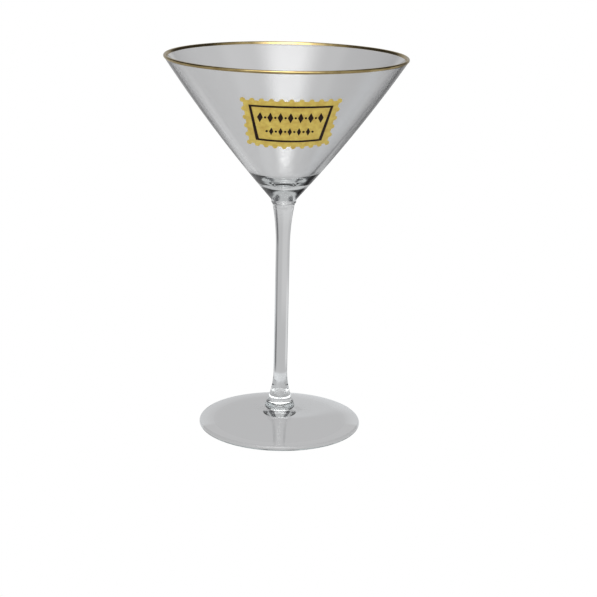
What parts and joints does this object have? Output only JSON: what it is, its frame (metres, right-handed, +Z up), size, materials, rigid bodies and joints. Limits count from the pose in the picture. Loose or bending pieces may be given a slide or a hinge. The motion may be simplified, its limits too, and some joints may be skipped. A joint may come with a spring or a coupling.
{
  "type": "martini glass",
  "caption": "Stemmed cocktail glass with a conical clear bowl, slim stem, wide domed foot, gold rim band and a small gold label with a dark frame on the front.",
  "frame": {"origin": "centre of the circle the foot stands on, at table height", "axes": "+Z up along the axis of the glass; the label on the bowl faces -Y; +X to the label's right as it is read"},
  "size_m": [0.1164, 0.1164, 0.185],
  "materials": {
    "clear_glass": "clear blown glass, fire polished",
    "rim_gold": "bright fired liquid gold",
    "label_gold": "satin gold enamel print, fired on",
    "label_dark": "satin dark brown enamel print, fired on"
  },
  "bodies": {
    "root": {"bowl": "clear_glass", "stem": "clear_glass", "foot": "clear_glass", "rim_band": "rim_gold", "label_ground": "label_gold", "label_frame": "label_dark", "label_ornament": "label_dark"}
  },
  "joints": []
}
